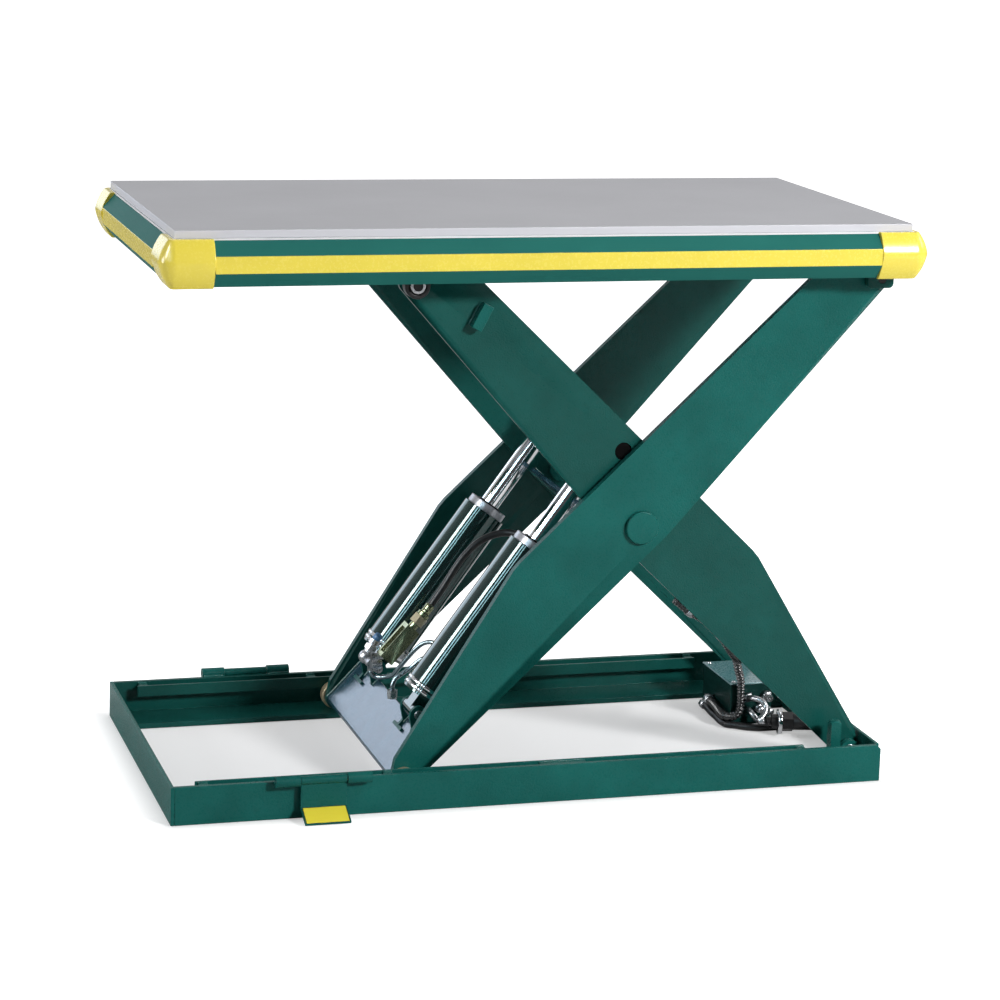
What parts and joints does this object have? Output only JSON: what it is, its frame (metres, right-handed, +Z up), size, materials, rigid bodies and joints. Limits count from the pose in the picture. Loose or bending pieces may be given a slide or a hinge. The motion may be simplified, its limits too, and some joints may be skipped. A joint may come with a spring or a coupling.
{
  "type": "scissor lift table",
  "caption": "Low hydraulic scissor lift table: flat base, crossed legs on hinges and rollers, tilting cylinders, steel platform with a padded edge.",
  "frame": {"origin": "on the floor, under the middle of the base", "axes": "+X along the table towards its hinged end, +Y across it, +Z up"},
  "size_m": [1.2712, 0.7066, 0.954],
  "materials": {
    "green_paint": "gloss teal-green paint",
    "grey_paint": "satin light grey paint",
    "barrel_paint": "high-gloss teal-green paint",
    "lid_paint": "light blue-green gloss paint",
    "polished_steel": "polished",
    "plain_steel": "turned steel",
    "tan_roller": "plated and slightly yellow",
    "bronze": "plain bearing bronze",
    "brass": "olive zinc-plated",
    "black_hose": "satin black",
    "yellow_plastic": "smooth yellow",
    "bumper_plastic": "smooth teal-green"
  },
  "bodies": {
    "base": {"front_base_rail": "green_paint", "rear_base_rail": "green_paint", "left_base_end": "green_paint", "right_base_end": "green_paint", "front_roller_guard": "green_paint", "rear_roller_guard": "green_paint", "front_hinge_bracket": "green_paint", "rear_hinge_bracket": "green_paint", "base_hinge_pins": "plain_steel", "stop_posts": "green_paint", "prop_hinge_barrels": "green_paint", "prop_hinge_pins": "plain_steel", "junction_box": "green_paint", "junction_box_lid": "lid_paint", "box_screws": "plain_steel", "cable_conduit": "black_hose", "return_hose": "black_hose", "base_coupling": "brass", "box_fittings": "plain_steel"},
    "inner_legs": {"front_inner_leg": "green_paint", "rear_inner_leg": "green_paint", "inner_torsion_plate": "green_paint", "leg_lug": "green_paint", "inner_leg_bushes": "bronze", "platform_roller_shaft": "plain_steel", "platform_roller_rings": "plain_steel"},
    "outer_legs": {"front_outer_leg": "green_paint", "rear_outer_leg": "green_paint", "cylinder_tray": "green_paint", "cylinder_clevises": "green_paint", "clevis_pins": "plain_steel", "centre_pins": "green_paint", "outer_leg_bushes": "bronze", "base_roller_shaft": "plain_steel", "base_roller_rings": "plain_steel"},
    "front_base_roller_body": {"front_base_roller": "tan_roller"},
    "rear_base_roller_body": {"rear_base_roller": "tan_roller"},
    "front_platform_roller_body": {"front_platform_roller": "plain_steel"},
    "rear_platform_roller_body": {"rear_platform_roller": "plain_steel"},
    "platform": {"platform_plate": "grey_paint", "front_platform_rail": "green_paint", "rear_platform_rail": "green_paint", "platform_end_rails": "green_paint", "platform_hinge_ears": "green_paint", "platform_hinge_pins": "plain_steel", "edge_bumpers": "bumper_plastic", "bumper_bands": "yellow_plastic", "corner_caps": "yellow_plastic"},
    "cylinder_barrels": {"front_barrel": "barrel_paint", "rear_barrel": "barrel_paint", "cylinder_glands": "polished_steel", "flow_valve": "brass", "valve_hose": "black_hose", "cylinder_tubes": "plain_steel", "cylinder_ports": "plain_steel"},
    "cylinder_rods": {"front_piston_rod": "polished_steel", "rear_piston_rod": "polished_steel", "rod_shaft": "plain_steel"},
    "front_prop_body": {"front_prop": "green_paint"},
    "rear_prop_body": {"rear_prop": "green_paint"}
  },
  "joints": [
    {"name": "lift", "type": "hinge", "parent": "base", "child": "inner_legs", "pos_m": [0.583, 0, 0.033], "axis": [0, 1, 0], "range_deg": [-43.6, 11.1]},
    {"name": "scissor", "type": "hinge", "parent": "inner_legs", "child": "outer_legs", "pos_m": [0.18498, 0, 0.4445], "axis": [0, 1, 0], "range_deg": [-22.3, 87.3]},
    {"name": "platform_tilt", "type": "hinge", "parent": "outer_legs", "child": "platform", "pos_m": [0.583, 0, 0.856], "axis": [0, 1, 0], "range_deg": [-43.7, 11.2]},
    {"name": "front_base_roller_spin", "type": "hinge", "parent": "outer_legs", "child": "front_base_roller_body", "pos_m": [-0.21305, -0.2535, 0.033], "axis": [0, 1, 0], "continuous": true},
    {"name": "rear_base_roller_spin", "type": "hinge", "parent": "outer_legs", "child": "rear_base_roller_body", "pos_m": [-0.21305, 0.2535, 0.033], "axis": [0, 1, 0], "continuous": true},
    {"name": "front_platform_roller_spin", "type": "hinge", "parent": "inner_legs", "child": "front_platform_roller_body", "pos_m": [-0.21305, -0.2535, 0.856], "axis": [0, 1, 0], "continuous": true},
    {"name": "rear_platform_roller_spin", "type": "hinge", "parent": "inner_legs", "child": "rear_platform_roller_body", "pos_m": [-0.21305, 0.2535, 0.856], "axis": [0, 1, 0], "continuous": true},
    {"name": "cylinder_swing", "type": "hinge", "parent": "outer_legs", "child": "cylinder_barrels", "pos_m": [-0.1695, 0, 0.1207], "axis": [0, 1, 0], "range_deg": [-4, 4]},
    {"name": "rod_stroke", "type": "slide", "parent": "cylinder_barrels", "child": "cylinder_rods", "axis": [0.5859, 0, 0.8104], "range_m": [-0.177, 0.045]},
    {"name": "front_prop_swing", "type": "hinge", "parent": "base", "child": "front_prop_body", "pos_m": [-0.363, -0.3143, 0.0665], "axis": [-1, 0, 0], "range_deg": [0, 270]},
    {"name": "rear_prop_swing", "type": "hinge", "parent": "base", "child": "rear_prop_body", "pos_m": [-0.363, 0.3143, 0.0665], "axis": [1, 0, 0], "range_deg": [0, 270]}
  ],
  "couplings": [
    {"joint": "scissor", "follows": "lift", "ratio": -2},
    {"joint": "platform_tilt", "follows": "lift", "ratio": 1},
    {"joint": "cylinder_swing", "follows": "lift", "ratio": -0.015},
    {"joint": "rod_stroke", "follows": "lift", "m_per_rad": 0.2277}
  ]
}
